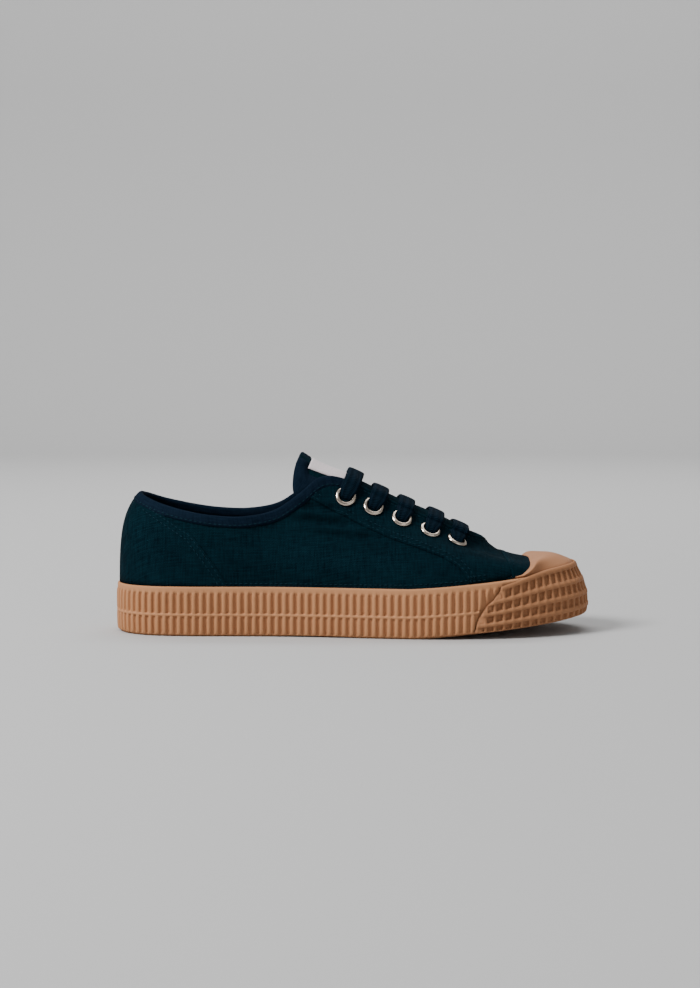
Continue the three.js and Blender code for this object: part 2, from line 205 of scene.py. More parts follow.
def station(u):
    # the sole's edge at u, the way into the shoe, and the rib of canvas that rises there
    key = round(u % ringLength, 5)
    if key in stationStore:
        return stationStore[key]
    s = shoeSize
    x, y = ring(u, "x"), ring(u, "y")
    dx = ring(u + 0.05, "x") - ring(u - 0.05, "x")
    dy = ring(u + 0.05, "y") - ring(u - 0.05, "y")
    into = Vector((dy, -dx, 0)).normalized()
    made = {
        "x": x,
        "into": into,
        "edge": Vector((x, y, springAt(x))),
        "lean": smoothStep(x, *s["leanSpan"]),
        "depth": mixValue(s["foxingDepth"], s["toeDepth"], smoothStep(x, *s["growSpan"])),
    }
    stationStore[key] = made
    skirtTop = s["foxingHeight"] + s["clearance"]
    depth = made["depth"] + s["clearance"]
    foot = wallPoint(u, skirtTop, depth)
    tangent = (foot - wallPoint(u, skirtTop - 2, depth)).normalized()
    inner = (u % ringLength) <= toeKey
    tilt = s["collarTilt"] * math.sin(math.pi * clamp(ring(u, "rimX") / s["collarSpan"])) if inner else 0
    rim = Vector((ring(u, "rimX"), ring(u, "rimY"), ring(u, "rimZ") + tilt))
    away = Vector((foot.x - rim.x, foot.y - rim.y, 0)).normalized()
    low = foot + tangent * ring(u, "rise")
    high = rim + away * ring(u, "reach") - Vector((0, 0, ring(u, "drop")))
    made["rib"] = (foot, low, high, rim)
    return made


def wallPoint(u, height, depth):
    # a place this high up the rubber wall and this far in from its face
    s = station(u)
    lean = s["lean"] * readTable(leanRows, height)
    return s["edge"] + Vector((0, 0, height)) + s["into"] * (depth + lean)


def surface(u, v):
    # the outside of the canvas: v is 0 at the top of the rubber, 1 at the rim, and -1 down inside the wall
    s = station(u)
    if v <= 0:
        top = shoeSize["foxingHeight"] + shoeSize["clearance"]
        foot = shoeSize["outsoleHeight"] + shoeSize["clearance"]
        return wallPoint(u, top + v * (top - foot), s["depth"] + shoeSize["clearance"])
    a, b, c, d = s["rib"]
    w = 1 - v
    return a * w ** 3 + b * (3 * w * w * v) + c * (3 * w * v * v) + d * v ** 3


def normalAt(u, v):
    low = min(v, 0.98)
    along = surface(u + 0.02, v) - surface(u - 0.02, v)
    up = surface(u, low + 0.02) - surface(u, low - 0.02)
    return up.cross(along).normalized()


cameraValues = {"lens": 71.5, "sensor": 36, "place": (143.2, -1200, 158), "downward": 3.57}


def camera():
    v = cameraValues
    cam = bpy.data.cameras.new("view")
    cam.lens = v["lens"]
    cam.sensor_width = v["sensor"]
    piece = bpy.data.objects.new("view", cam)
    bpy.context.scene.collection.objects.link(piece)
    piece.location = toFrame(Vector(v["place"]))
    piece.rotation_euler = (math.radians(90 - v["downward"]), 0, 0)
    bpy.context.scene.camera = piece


# a round paper sweep, which looks the same from every side
stageValues = {
    "floorRadius": 2.6,
    "wallRadius": 3.4,
    "wallHeight": 1.9,
    "floorColour": (0.452, 0.452, 0.452, 1),
    "floorRoughness": 0.9,
    "worldColour": (0.5, 0.5, 0.5, 1),
    "worldPower": 0.7,
    # name, place, target, size and power
    "lights": (
        ("keyLight", (-1.35, -0.9, 1.5), (0, 0, 0.04), 0.9, 64.0),
        ("fillLight", (1.3, -1.9, 0.9), (0, 0, 0.05), 1.6, 6.0),
        ("topLight", (0.1, 0.5, 2.2), (0, 0, 0), 2.2, 20.0),
        ("wallLight", (0, 1.4, 2.4), (0, 3.4, 0.5), 2.4, 66.0),
    ),
}


def buildStage():
    v = stageValues
    bm = bmesh.new()
    reach = v["wallRadius"] - v["floorRadius"]
    profile = [bm.verts.new((0, 0, 0)), bm.verts.new((v["floorRadius"], 0, 0))]
    for angle in steps(0, math.pi / 2, 10)[1:]:
        out, up = reach * math.sin(angle), reach - reach * math.cos(angle)
        profile.append(bm.verts.new((v["floorRadius"] + out, 0, up)))
    profile.append(bm.verts.new((v["wallRadius"], 0, v["wallHeight"])))
    edges = [bm.edges.new(pair) for pair in zip(profile, profile[1:])]
    bmesh.ops.spin(bm, geom=profile + edges, cent=(0, 0, 0), axis=(0, 0, 1), angle=2 * math.pi,
                   steps=96, use_merge=True, use_duplicate=False)
    bmesh.ops.remove_doubles(bm, verts=bm.verts, dist=0.0005)
    bmesh.ops.recalc_face_normals(bm, faces=bm.faces)
    sweep = finishMesh(bm, "studioSweep", [makePlain("studioPaper", v["floorColour"], v["floorRoughness"])])
    sweep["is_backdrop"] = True


def areaLight(name, place, target, size, power):
    lamp = bpy.data.lights.new(name, "AREA")
    lamp.shape = "DISK"
    lamp.size = size
    lamp.energy = power
    piece = bpy.data.objects.new(name, lamp)
    bpy.context.scene.collection.objects.link(piece)
    piece.location = place
    piece.rotation_euler = (Vector(target) - Vector(place)).to_track_quat("-Z", "Y").to_euler()


def buildLights():
    v = stageValues
    for light in v["lights"]:
        areaLight(*light)
    world = bpy.data.worlds.new("studioWorld")
    world.use_nodes = True
    background = world.node_tree.nodes["Background"]
    background.inputs["Color"].default_value = v["worldColour"]
    background.inputs["Strength"].default_value = v["worldPower"]
    bpy.context.scene.world = world


def finishMesh(bm, name, materials, smooth=True):
    mesh = bpy.data.meshes.new(name)
    bm.to_mesh(mesh)
    bm.free()
    for material in materials:
        mesh.materials.append(material)
    for polygon in mesh.polygons:
        polygon.use_smooth = smooth
    piece = bpy.data.objects.new(name, mesh)
    bpy.context.scene.collection.objects.link(piece)
    return piece


def sheetMesh(columns, rows, place, uvPlace=None, wrap=False):
    # a grid laid on the surface that place gives for two shares from 0 to 1, with uv in metres
    bm = bmesh.new()
    bmesh.ops.create_grid(bm, x_segments=columns, y_segments=rows, size=1)
    uvLayer = bm.loops.layers.uv.new("cloth")
    shares = {vert: ((vert.co.x + 1) / 2, (vert.co.y + 1) / 2) for vert in bm.verts}
    placed = {vert: place(*shares[vert]) for vert in bm.verts}
    for face in bm.faces:
        for loop in face.loops:
            loop[uvLayer].uv = (uvPlace or clothUv)(placed[loop.vert], *shares[loop.vert])
    for vert, spot in placed.items():
        vert.co = toFrame(spot)
    if wrap:
        bmesh.ops.remove_doubles(bm, verts=bm.verts, dist=weldReach)
    return bm


def clothUv(spot, a, b):
    # threads run along the shoe and up its side, in metres
    return (spot.x / 1000, (spot.z - abs(spot.y)) / 1000)


def lengthUv(length, width):
    return lambda spot, a, b: (a * length / 1000, b * width / 1000)


def closedSheet(bm):
    # a grid wrapped round on itself: its seam is merged and its two ends are filled
    bmesh.ops.remove_doubles(bm, verts=bm.verts, dist=weldReach)
    bmesh.ops.holes_fill(bm, edges=[edge for edge in bm.edges if edge.is_boundary], sides=0)
    bmesh.ops.recalc_face_normals(bm, faces=bm.faces)


def addPiece(piece, slot, *nodes):
    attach(piece, "root")
    if nodes:
        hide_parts(*nodes)


def addSolidify(piece, thickness, innerSlot=0):
    # a wall inwards from the face, with the cut edges in the inner slot's material
    thick = piece.modifiers.new("wall", "SOLIDIFY")
    thick.thickness = thickness / 1000
    thick.offset = -1
    thick.use_even_offset = False
    thick.material_offset = innerSlot
    thick.material_offset_rim = innerSlot


def makePlain(name, colour, roughness):
    material = bpy.data.materials.new(name)
    material.use_nodes = True
    shader = material.node_tree.nodes["Principled BSDF"]
    shader.inputs["Base Color"].default_value = colour
    shader.inputs["Roughness"].default_value = roughness
    return material


# Lengths walked round the sole's outline, which space the ribs evenly.

def outlineLengths(count=680):
    walked = [0.0]
    for i in range(count):
        a, b = (station(ringLength * k / count)["edge"] for k in (i, i + 1))
        walked.append(walked[-1] + (Vector((b.x - a.x, b.y - a.y, 0))).length)
    return walked


outlineWalk = outlineLengths()
outlineLength = outlineWalk[-1]


def stationAt(length):
    # the u at this length, found by halving the row of walked lengths
    turns, rest = divmod(length, outlineLength)
    low, high = 0, len(outlineWalk) - 1
    while high - low > 1:
        middle = (low + high) // 2
        if outlineWalk[middle] <= rest:
            low = middle
        else:
            high = middle
    share = (rest - outlineWalk[low]) / (outlineWalk[high] - outlineWalk[low])
    return (low + share) * ringLength / (len(outlineWalk) - 1) + turns * ringLength


def lengthAt(u):
    place = (u % ringLength) / ringLength * (len(outlineWalk) - 1)
    i = min(int(place), len(outlineWalk) - 2)
    return mixValue(outlineWalk[i], outlineWalk[i + 1], place - i)


def footStation(x):
    # the u on the inner side where the outline is at x
    return solve(lambda u: ring(u, "x"), x, 1, toeKey)


# height and x of the guard's sloping rear edge
guardEdgeRows = ((0.8, 216), (8, 217.4), (13, 219.2), (18, 221.6), (21.5, 224.4), (23.6, 227.4), (25.2, 231),
                 (32, 232))


def guardFan(x):
    # the guard and its ridges grow taller towards the toe
    return mixValue(0.77, 1.0, smoothStep(x, 212, 268))


foxingLook = {
    "ribPitch": 4.5,
    # share of the pitch and how far the rib stands up there
    "ribPhases": ((0.0, 0), (0.36, 0), (0.42, 0.6), (0.47, 0.96), (0.68, 1), (0.86, 0.96), (0.93, 0.55)),
    "grooveDepth": 1.6,
    # height, depth of the rib's top, how far the grooves cut at this height
    "profile": ((0.8, 1.7, 0), (1.3, 0.8, 0.5), (2.1, 0.4, 1), (4, 0.2, 1), (8, 0.08, 1), (10.9, 0.06, 1),
                (11.7, 0.16, 0.9), (12.1, 0.3, 0.15), (12.6, 0.12, 0), (13.2, 0.12, 0), (13.7, 0.3, 0.15),
                (14.1, 0.16, 0.9), (14.9, 0.03, 1), (18, 0, 1), (22, 0.03, 1), (24.4, 0.1, 1),
                (25.4, 0.22, 0.85), (26.1, 0.5, 0.25), (26.7, 0.62, 0), (28.6, 0.62, 0), (29.4, 0.8, 0),
                (29.8, 1.25, 0)),
    # under the guard the strip is set back
    "underGuard": 2.5,
    "underShare": 0.4,
    "underDrop": 0.3,
    "underHeight": 31.4,
    "underStart": 0.4,
}


def buildFoxing(material):
    look = foxingLook
    ribs = round(outlineLength / look["ribPitch"])
    phases = look["ribPhases"]
    columns = ribs * len(phases)
    face = list(look["profile"])
    top, foot = face[-1][0], face[0][0]
    innerFace = [(top, None, 0), (top - 6, None, 0), (foot + 2, None, 0), (foot, None, 0)]
    loop = face + innerFace + face[:1]

    def place(a, b):
        i = round(a * columns)
        rib, part = divmod(i, len(phases))
        phase, relief = phases[part]
        u = stationAt((rib + phase) * outlineLength / ribs)
        s = station(u)
        height, depth, cut = loop[round(b * (len(loop) - 1))]
        if depth is None:
            return wallPoint(u, height, s["depth"])
        covered = s["x"] > readTable(guardEdgeRows, height) + look["underStart"]
        if covered and height < look["underHeight"] * guardFan(s["x"]):
            return wallPoint(u, height - look["underDrop"], look["underGuard"] + look["underShare"] * depth)
        return wallPoint(u, height, depth + cut * look["grooveDepth"] * (1 - relief))

    bm = sheetMesh(columns, len(loop) - 1, place, lengthUv(outlineLength, 30), wrap=True)
    bmesh.ops.recalc_face_normals(bm, faces=bm.faces)
    addPiece(finishMesh(bm, "foxingBand", [material]), "foxing_gum", "foxing")
    print("sneaker: foxing with", ribs, "ribs a row")


guardLook = {
    "barPitch": 5.7,
    "barPhases": ((0.0, 0), (0.56, 0), (0.62, 0.5), (0.68, 0.95), (0.84, 1), (0.94, 0.95), (0.98, 0.5)),
    "pocketDepth": 1.9,
    "plainEdge": 3.4,
    "plainBlend": 0.5,
    "rollDepth": 0.55,
    "rollWidth": 0.8,
    # height, depth at the ridges and bars, how far the pockets cut
    "profile": ((0.8, 1.1, 0), (1.3, 0.6, 0.3), (1.9, 0.45, 1), (4.1, 0.4, 1), (4.5, 0.3, 0.3), (5.0, 0.04, 0),
                (6.9, 0.0, 0), (7.5, 0.3, 0.3), (7.9, 0.35, 1), (11.8, 0.35, 1), (12.2, 0.3, 0.3), (12.7, 0.04, 0),
                (14.7, 0, 0), (15.2, 0.3, 0.3), (15.6, 0.35, 1), (19.8, 0.35, 1), (20.2, 0.3, 0.3),
                (20.7, 0.04, 0),
                (22.7, 0, 0), (23.2, 0.3, 0.3), (23.6, 0.35, 1), (28.4, 0.35, 1), (28.8, 0.3, 0.3), (29.3, 0.1, 0),
                (30.8, 0, 0), (31.6, 0.3, 0), (32, 0.8, 0)),
    "wall": 1.0,
}


def buildGuard(material):
    look = guardLook
    phases = look["barPhases"]
    start = lengthAt(footStation(guardEdgeRows[0][1]))
    end = outlineLength - start
    bars = round((end - start) / look["barPitch"])
    columns = bars * len(phases)
    rows = look["profile"]

    def place(a, b):
        i = round(a * columns)
        bar, part = divmod(i, len(phases))
        phase, relief = phases[part]
        length = start + (bar + phase) * (end - start) / bars
        height, depth, cut = rows[round(b * (len(rows) - 1))]
        first = lengthAt(footStation(readTable(guardEdgeRows, height)))
        last = outlineLength - first
        length = clamp(length, first, last)
        margin = min(length - first, last - length)
        cut *= smoothStep(margin, look["plainEdge"], look["plainEdge"] + look["plainBlend"])
        roll = look["rollDepth"] * (1 - clamp(margin / look["rollWidth"])) ** 2
        lead = look["pocketDepth"] * cut * (1 - relief)
        u = stationAt(length)
        return wallPoint(u, height * guardFan(station(u)["x"]), depth + lead + roll)

    bm = sheetMesh(columns, len(rows) - 1, place, lengthUv(end - start, 32))
    bmesh.ops.reverse_faces(bm, faces=bm.faces)
    bmesh.ops.remove_doubles(bm, verts=bm.verts, dist=weldReach)
    bmesh.ops.dissolve_degenerate(bm, edges=bm.edges, dist=weldReach / 2)
    piece = finishMesh(bm, "toeGuardStrip", [material])
    addSolidify(piece, look["wall"])
    addPiece(piece, "foxing_gum", "toe_guard")
    print("sneaker: toe guard with", bars, "bars a row")


treadLook = {
    "ribPitch": 6.0,
    "grooveWidth": 1.6,
    "grooveDepth": 1.2,
    "border": 6.0,
    "borderBlend": 0.8,
    "slant": 0.18,             # the grooves slant one way under the heel and the other under the ball
    "waist": 120.0,
    "fieldEnds": (8.0, 276.0),
    "columns": 560,
    "across": 26,
}


def buildOutsole(material):
    look = treadLook
    bottomRow, topRow = 0, 1
    loop = [(bottomRow, share) for share in steps(0, 1, look["across"])]
    loop += [(topRow, share) for share in steps(1, 0, look["across"] // 4)] + loop[:1]

    def treadCut(spot, fromEdge):
        slant = look["slant"] * abs(spot.y) * (1 if spot.x > look["waist"] else -1)
        phase = (spot.x + slant) % look["ribPitch"]
        width = look["grooveWidth"]
        groove = 1 - smoothStep(abs(phase - look["ribPitch"] / 2), width / 2, width)
        inField = smoothStep(fromEdge, look["border"], look["border"] + look["borderBlend"])
        heelEnd, toeEnd = look["fieldEnds"]
        ends = smoothStep(spot.x, heelEnd, heelEnd + 1) * (1 - smoothStep(spot.x, toeEnd, toeEnd + 1))
        return look["grooveDepth"] * groove * inField * ends

    def place(a, b):
        t = a * toeKey
        depth = station(t)["depth"] + shoeSize["clearance"]
        outer, inner = wallPoint(ringLength - t, 0, depth), wallPoint(t, 0, depth)
        row, share = loop[round(b * (len(loop) - 1))]
        spot = outer.lerp(inner, share)
        fromEdge = min(share, 1 - share) * (outer - inner).length
        low = archAt(spot.x) + treadCut(spot, fromEdge)
        spot.z = springAt(spot.x) + (shoeSize["outsoleHeight"] if row == topRow else low)
        return spot

    bm = sheetMesh(look["columns"], len(loop) - 1, place)
    closedSheet(bm)
    addPiece(finishMesh(bm, "outsoleUnit", [material], smooth=False), "outsole_gum", "outsole")
    print("sneaker: outsole")


insoleLook = {
    "thickness": 4.6,
    "edgeDrop": 0.5,
    "edgePower": 6,
    "dishDepth": 0.9,          # the heel's hollow
    "dishLength": 90.0,
    "columns": 150,
    "across": 12,
}


def buildInsole(material):
    look = insoleLook
    under = [(False, share) for share in steps(0, 1, look["across"])]
    loop = under + [(True, share) for share in steps(1, 0, look["across"])] + under[:1]

    def place(a, b):
        t = a * toeKey
        depth = station(t)["depth"] + shoeSize["upperWall"] + 4 * shoeSize["clearance"]
        height = shoeSize["outsoleHeight"] + shoeSize["clearance"]
        crown = height + look["thickness"]
        outer, inner = wallPoint(ringLength - t, crown, depth), wallPoint(t, crown, depth)
        top, share = loop[round(b * (len(loop) - 1))]
        spot = outer.lerp(inner, share)
        edge = (2 * share - 1) ** look["edgePower"]
        dish = 0
        if spot.x < look["dishLength"]:
            dish = look["dishDepth"] * (1 - edge) * math.sin(math.pi * clamp(spot.x / look["dishLength"]))
        spot.z = springAt(spot.x) + (crown - look["edgeDrop"] * edge - dish if top else height)
        return spot

    bm = sheetMesh(look["columns"], len(loop) - 1, place)
    closedSheet(bm)
    addPiece(finishMesh(bm, "insoleBed", [material]), "lining", "insole")


# Soft folds of the canvas: side, from x and z to x and z, half width, and rise (a trough when below 0).
creaseRows = (
    ("outer", 110, 70, 148, 66.5, 2.5, -3.6),
    ("outer", 124, 62.5, 168, 58, 2.1, -2.7),
    ("outer", 106, 66, 152, 62, 2.2, 1.9),
    ("outer", 112, 78.5, 138, 74.5, 2.1, -2.6),
    ("outer", 116, 75.5, 146, 70.2, 2.0, 0.7),
    ("outer", 150, 57, 196, 41, 4.5, -0.8),
    ("outer", 96, 44, 168, 40, 7, 0.5),
    ("outer", 214, 50, 226, 56, 2.4, -0.45),
    ("outer", 222, 53, 232, 46, 1.6, -0.55),
    ("outer", 26, 46, 62, 52, 8, -0.4),
    ("outer", 70, 62, 112, 58, 5, 0.45),
    ("inner", 110, 69, 148, 64, 3.2, -0.7),
    ("inner", 116, 62, 160, 58, 2.6, -0.5),
    ("inner", 106, 65, 148, 61, 2.4, 0.45),
    ("inner", 146, 55, 192, 42, 4.5, -0.45),
    ("inner", 92, 44, 160, 41, 7, 0.5),
    ("inner", 216, 51, 229, 55, 2.4, -0.4),
    ("inner", 24, 48, 60, 50, 8, -0.4),
)


def creaseAt(spot):
    # how far the folds lift or sink the canvas at this place
    total = 0.0
    side = "inner" if spot.y > tongueMid * smoothStep(spot.x, 100, 160) else "outer"
    for where, x0, z0, x1, z1, width, rise in creaseRows:
        if where != side:
            continue
        dx, dz = x1 - x0, z1 - z0
        length = math.hypot(dx, dz)
        along = ((spot.x - x0) * dx + (spot.z - z0) * dz) / length
        if along < -width * 2 or along > length + width * 2:
            continue
        off = ((spot.x - x0) * dz - (spot.z - z0) * dx) / length
        start = smoothStep(along, -width * 2, length * 0.35)
        end = 1 - smoothStep(along, length * 0.65, length + width * 2)
        total += rise * (start * end) * math.exp(-(off / width) ** 2)
    return total


def canvasPoint(u, v, lift):
    # the canvas with its folds, which fade out at the rubber and at the rim
    spot = surface(u, v)
    fade = smoothStep(v, 0, 0.12) * (1 - smoothStep(v, 0.9, 1))
    if fade > 0:
        lift = lift + creaseAt(spot) * fade
    return spot + normalAt(u, v) * lift


def rimPoint(u, depth, lift):
    # a place this far down the canvas from the rim
    rib = station(u)["rib"]
    return canvasPoint(u, 1 - depth / (3 * (rib[3] - rib[2]).length), lift)


eyeletPlaces = (140.5, 157, 174, 191, 207)     # x of each pair
eyeletDepth = 12.8                             # from the rim down to an eyelet's middle


def belowRim(u, depth, parts=60):
    # the share up the rib that lies this far below the rim
    walked = 0.0
    for i in range(parts, 0, -1):
        walked += (surface(u, i / parts) - surface(u, (i - 1) / parts)).length
        if walked >= depth:
            return (i - 1) / parts
    return 0.0


def onSide(t, side):
    # stations 0 to toeKey run up the inner side; the outer side mirrors them
    return t if side == "Medial" else ringLength - t


def eyeletFrame(x, side):
    t = solve(lambda k: surface(onSide(k, side), belowRim(onSide(k, side), eyeletDepth)).x, x, 7, 15)
    u = onSide(t, side)
    v = belowRim(u, eyeletDepth)
    return surface(u, v), normalAt(u, v)


eyeletFrames = {}
for sideName in ("Lateral", "Medial"):
    for eyeletIndex, eyeletX in enumerate(eyeletPlaces):
        eyeletFrames[sideName, eyeletIndex] = eyeletFrame(eyeletX, sideName)

upperLook = {
    "columns": 340,
    "rows": (-1, -0.5, -0.03) + tuple(i / 46 for i in range(1, 47)),
    "holeRadius": 4.45,
    "drillLength": 12.0,
    "drillSides": 32,
}


def turnTo(normal):
    return normal.to_track_quat("Z", "Y").to_matrix().to_4x4()


def buildUpper(canvas, lining):
    look = upperLook
    rows = look["rows"]
    bm = sheetMesh(look["columns"], len(rows) - 1,
                   lambda a, b: canvasPoint(a * ringLength, rows[round(b * (len(rows) - 1))], 0), wrap=True)
    bmesh.ops.reverse_faces(bm, faces=bm.faces)
    piece = finishMesh(bm, "upperCanvas", [canvas, lining])
    addSolidify(piece, shoeSize["upperWall"], innerSlot=1)
    cutter = bmesh.new()
    for spot, normal in eyeletFrames.values():
        radius = look["holeRadius"] / 1000
        made = bmesh.ops.create_cone(cutter, cap_ends=True, segments=look["drillSides"], radius1=radius,
                                     radius2=radius, depth=look["drillLength"] / 1000)
        bmesh.ops.transform(cutter, matrix=turnTo(normal), verts=made["verts"])
        bmesh.ops.translate(cutter, vec=toFrame(spot), verts=made["verts"])
    drill = finishMesh(cutter, "eyeletDrill", [])
    holes = piece.modifiers.new("holes", "BOOLEAN")
    holes.operation = "DIFFERENCE"
    holes.solver = "EXACT"
    holes.object = drill
    applyModifiers(piece)
    bpy.data.objects.remove(drill)
    addPiece(piece, "canvas", "upper")
    print("sneaker: upper", len(piece.data.polygons), "faces")


def applyModifiers(piece):
    graph = bpy.context.evaluated_depsgraph_get()
    made = bpy.data.meshes.new_from_object(piece.evaluated_get(graph))
    old = piece.data
    piece.modifiers.clear()
    piece.data = made
    made.name = old.name
    bpy.data.meshes.remove(old)


# Seams as seen from the side: x and z, and z and x for the upright seam across the toe.
facingSeam = ((110, 90), (114, 86), (118, 82.8), (138, 72.4), (154, 64.4), (170, 57.7), (185.5, 52.6), (198, 48),
              (206, 43.4), (210.5, 38.7), (214.5, 31), (216, 20))
heelSeam = ((10, 90), (14, 83), (24, 76), (36, 68.5), (48, 61), (57, 49.5), (64, 40), (70.5, 29), (72, 20))
toeSeam = ((30, 240.4), (37, 239.2), (43, 237.4), (47.4, 235.5), (50, 233.6), (52, 233))


def seamShare(u, seam):
    # how far up the rib at u the seam crosses it
    return solve(lambda v: surface(u, v).z - readTable(seam, surface(u, v).x), 0, 0, 1, 18)


def edgeShare(u, rows, high, rounds=26):
    # how far up the rib at u it passes behind an edge given as z and x
    def past(v):
        spot = surface(u, v)
        return readTable(rows, spot.z) - spot.x
    return solve(past, 0, 0, high, rounds)


def toeShare(u):
    return edgeShare(u, toeSeam, 0.92, 18)


panelLook = {
    "vampLift": 0.75,
    "toeLift": 1.2,
    "heelLift": 0.7,
    "wall": 0.5,
    "heelReach": 4.2,
    "facingStart": 7.0,
    "facingEnd": 12.6,         # the facing's seam runs down to the rubber before here
    "vampStart": 12.2,         # the seam across the toe bounds the vamp from here
    "vampTuck": 0.03,
    "toeStart": 12.95,
    "topShare": 0.97,
    "rimShare": 0.995,
}


def vampLow(u):
    # the lower edge of the facing and vamp: the facing's seam, then the seam across the toe
    p = panelLook
    t = min(u, ringLength - u)
    facing = seamShare(u, facingSeam) if t < p["facingEnd"] else 0.0
    toe = toeShare(u) - p["vampTuck"] if t > p["vampStart"] else 0.0
    return clamp(max(facing, toe), 0.0, p["topShare"])


def heelHigh(u):
    return clamp(seamShare(u % ringLength, heelSeam), 0.02, panelLook["topShare"])


def panelSheet(name, first, last, columns, rows, low, high, lift, material):
    lows = [low(u) for u in steps(first, last, columns)]
    highs = [high(u) for u in steps(first, last, columns)]

    def place(a, b):
        i = round(a * columns)
        return canvasPoint(mixValue(first, last, a), mixValue(lows[i], highs[i], b), lift)

    bm = sheetMesh(columns, rows, place)
    bmesh.ops.reverse_faces(bm, faces=bm.faces)
    bmesh.ops.remove_doubles(bm, verts=bm.verts, dist=weldReach)
    piece = finishMesh(bm, name, [material])
    addSolidify(piece, panelLook["wall"])
    addPiece(piece, "canvas")


def buildPanels(canvas):
    p = panelLook
    vampStart, toeStart, reach = p["facingStart"], p["toeStart"], p["heelReach"]
    panelSheet("vampPanel", vampStart, ringLength - vampStart, 300, 18,
               vampLow, lambda u: p["rimShare"], p["vampLift"], canvas)
    panelSheet("toePanel", toeStart, ringLength - toeStart, 120, 12,
               lambda u: 0.0, lambda u: max(toeShare(u), 0.02), p["toeLift"], canvas)
    panelSheet("heelPanel", -reach, reach, 110, 18,
               lambda u: 0.0, heelHigh, p["heelLift"], canvas)
    print("sneaker: canvas panels")


# Tape folded over the rim: depth below the rim and height off the canvas, outer side first.
bindingLook = {
    "collarProfile": ((6.1, 0.15), (5.9, 0.75), (4.6, 1.0), (2.4, 1.1), (0.6, 1.0), (-0.4, 0.55), (-0.85, -0.4),
                      (-0.85, -1.6), (-0.4, -2.6), (0.8, -3.0), (3.0, -3.0), (5.2, -2.9),
                      (5.4, -2.3), (3.0, -2.2)),
    "facingProfile": ((1.6, 0.8), (0.9, 1.05), (0.1, 0.95), (-0.4, 0.3), (-0.5, -0.8), (-0.3, -1.9), (0.4, -2.4),
                      (1.6, -2.3), (1.7, -0.6)),
    "collarEnd": 9.15,
    "facingStart": 9.05,
    "tapeWidth": 18.0,
}


def bandAlongRim(name, first, last, columns, profile, material):
    loop = profile + profile[:1]

    def place(a, b):
        depth, lift = loop[round(b * (len(loop) - 1))]
        return rimPoint(mixValue(first, last, a), depth, lift)

    rim = [rimPoint(u, 0, 0) for u in steps(first, last, 40)]
    length = sum((before - after).length for before, after in zip(rim, rim[1:]))
    bm = sheetMesh(columns, len(loop) - 1, place, lengthUv(length, bindingLook["tapeWidth"]))
    closedSheet(bm)
    addPiece(finishMesh(bm, name, [material]), "canvas")


def buildBinding(tape, canvas):
    b = bindingLook
    end, start = b["collarEnd"], b["facingStart"]
    bandAlongRim("collarBinding", -end, end, 260, b["collarProfile"], tape)
    bandAlongRim("facingEdge", start, ringLength - start, 160, b["facingProfile"], canvas)
    print("sneaker: collar binding")


capLook = {
    "start": 12.9,
    # z and x of the rear edge
    "edgeRows": ((34, 236), (35.7, 241.6), (38.2, 247), (40, 250), (43, 253), (52, 258)),
    "bulge": 2.6,
    "lift": 2.3,
    "innerLift": 1.35,
    "roll": 1.6,
    "footShare": -0.02,
    "columns": 120,
    # shares of the way up the face and back down the inside
    "faceShares": tuple(i / 22 for i in range(19)) + (0.86, 0.9, 0.93, 0.955, 0.975, 0.99, 1.0),
    "backShares": (1.0, 0.8, 0.6, 0.4, 0.2, 0.0),
}


def buildCap(material):
    look = capLook
    columns = look["columns"]
    start, end = look["start"], ringLength - look["start"]
    tops = [max(edgeShare(u, look["edgeRows"], 0.9), 0.03) for u in steps(start, end, columns)]
    loop = [(share, True) for share in look["faceShares"]] + [(share, False) for share in look["backShares"]]
    loop += loop[:1]

    def place(a, b):
        u = mixValue(start, end, a)
        top = tops[round(a * columns)]
        share, outside = loop[round(b * (len(loop) - 1))]
        v = mixValue(look["footShare"], top, share)
        span = (surface(u, top) - surface(u, 0)).length
        rounding = math.sqrt(max(0.0, 1 - (1 - clamp((1 - share) * span / look["roll"])) ** 2))
        sides = smoothStep(min(u - start, end - u), -0.15, 1.1)
        bulge = look["bulge"] * math.sin(math.pi * share ** 1.5) ** 2
        lift = look["innerLift"] - 0.2
        if outside:
            lift = mixValue(look["innerLift"], look["lift"] + bulge, rounding)
        return surface(u, v) + normalAt(u, v) * (lift * sides)

    bm = sheetMesh(columns, len(loop) - 1, place, lengthUv(170, 50))
    closedSheet(bm)
    addPiece(finishMesh(bm, "toeCapRubber", [material]), "cap_gum", "toe_cap")
    print("sneaker: toe cap")


# The tongue's ridge from the vamp up to its top edge: x, z, half width and how deep its sides fall.
tongueRows = (
    (238, 42.2, 11, 3.5),
    (228, 48.6, 14, 7),
    (218, 57, 17.5, 13),
    (206, 66.2, 21.5, 16.5),
    (190, 73.6, 23.5, 17),
    (174, 80.2, 24, 17.5),
    (158, 87.4, 23.4, 17),
    (142, 95, 21.8, 19),
    (128, 100.6, 21, 19.5),
    (118, 105.6, 20, 20.5),
    (113.6, 108.4, 19.5, 21.5),
)
tongueLook = {
    "power": 2.6,
    "wall": 3.0,
    "cornerRadius": 11.0,
    "bindingWidth": 6.6,
    "bindingEnd": 62.0,        # how far down the sides the tape runs
    "bindingColumns": 140,
    "labelStart": 7.4,
    "labelEnd": 37.0,
    "labelHalf": 12.5,
    "labelLift": 0.75,
    "labelWall": 0.5,
    "beyondWay": (-0.9, 0, 0.44),  # how the ridge goes on past its last row
    "beyondStep": 5.0,
    "hiddenEnd": 1.0,
    "columns": 36,
    "rows": 90,
    "rowPower": 1.25,          # rows stand closer together near the top edge
}
tongueTop = len(tongueRows) - 1
walkParts = 200
# The throat's own directions: along the eyelets towards the toe, and straight out of it.
throatStart = Vector((ringKey(9, "rimX"), 0, ringKey(9, "rimZ")))
throatLine = (Vector((ringKey(14, "rimX"), 0, ringKey(14, "rimZ"))) - throatStart).normalized()
throatUp = Vector((-throatLine.z, 0, throatLine.x))


